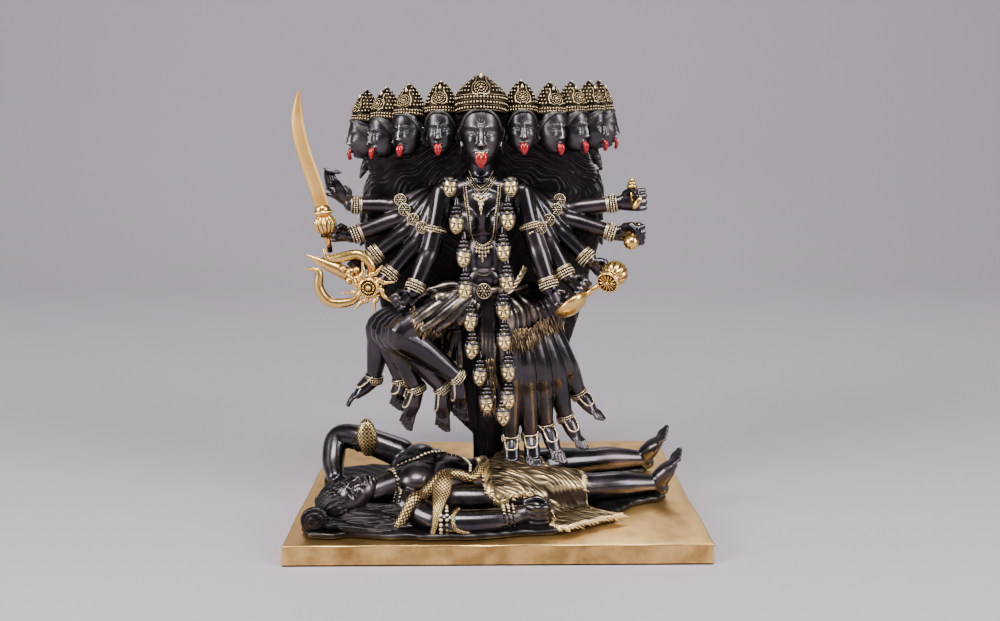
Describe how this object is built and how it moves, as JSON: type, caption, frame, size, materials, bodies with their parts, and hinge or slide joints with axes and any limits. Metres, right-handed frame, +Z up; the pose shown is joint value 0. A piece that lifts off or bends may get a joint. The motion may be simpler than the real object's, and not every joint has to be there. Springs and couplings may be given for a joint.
{
  "type": "kali figure",
  "caption": "Cast brass temple figure of a many-headed, many-armed goddess striding on a reclining god, on a rectangular slab; a display sculpture that stands on its base.",
  "frame": {"origin": "middle of the slab's underside", "axes": "+Z up; -Y faces the viewer, the way the goddess looks; +X is to the viewer's right, along the slab's long side"},
  "size_m": [0.48, 0.32, 0.541],
  "materials": {
    "slab_brass": "brushed and unevenly worn, with casting marks",
    "blackened": "glossy black patina, rubbed back to brass on raised ornament; tongues painted red",
    "held_brass": "polished, slightly darkened in recesses"
  },
  "bodies": {
    "root": {"slab": "slab_brass", "shiva": "blackened", "kali": "blackened", "sword": "held_brass", "trident": "held_brass", "chakra": "held_brass", "mace": "held_brass", "skull_cup": "held_brass", "handbell": "held_brass", "conch": "held_brass"}
  },
  "joints": []
}
